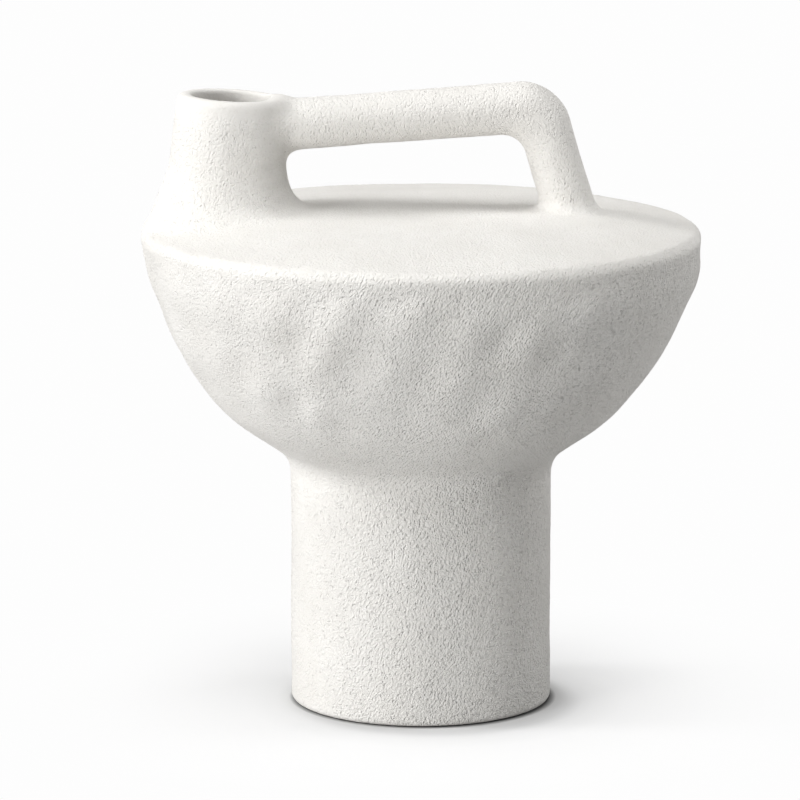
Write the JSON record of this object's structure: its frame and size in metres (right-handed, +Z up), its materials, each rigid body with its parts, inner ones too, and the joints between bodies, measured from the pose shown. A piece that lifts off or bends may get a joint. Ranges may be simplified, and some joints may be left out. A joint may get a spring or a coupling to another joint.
{
  "type": "handled vase",
  "caption": "Round stoneware vase on a hollow column foot, with a dimpled bowl, domed shoulder, off-centre neck and a bar handle from the lip to the shoulder.",
  "frame": {"origin": "centre of the foot's underside, on the surface that the vase stands on", "axes": "+Z up along the column's axis; -X towards the neck and mouth, +X towards the handle's post; the handle lies in the plane Y = 0"},
  "size_m": [0.25, 0.2502, 0.2794],
  "materials": {
    "stoneware": "unglazed off-white stoneware with a fine sandy grain, soft pits and wrinkles"
  },
  "bodies": {
    "root": {"foot_base": "stoneware", "foot_column": "stoneware", "bowl": "stoneware", "shoulder": "stoneware", "neck": "stoneware", "handle": "stoneware"}
  },
  "joints": []
}
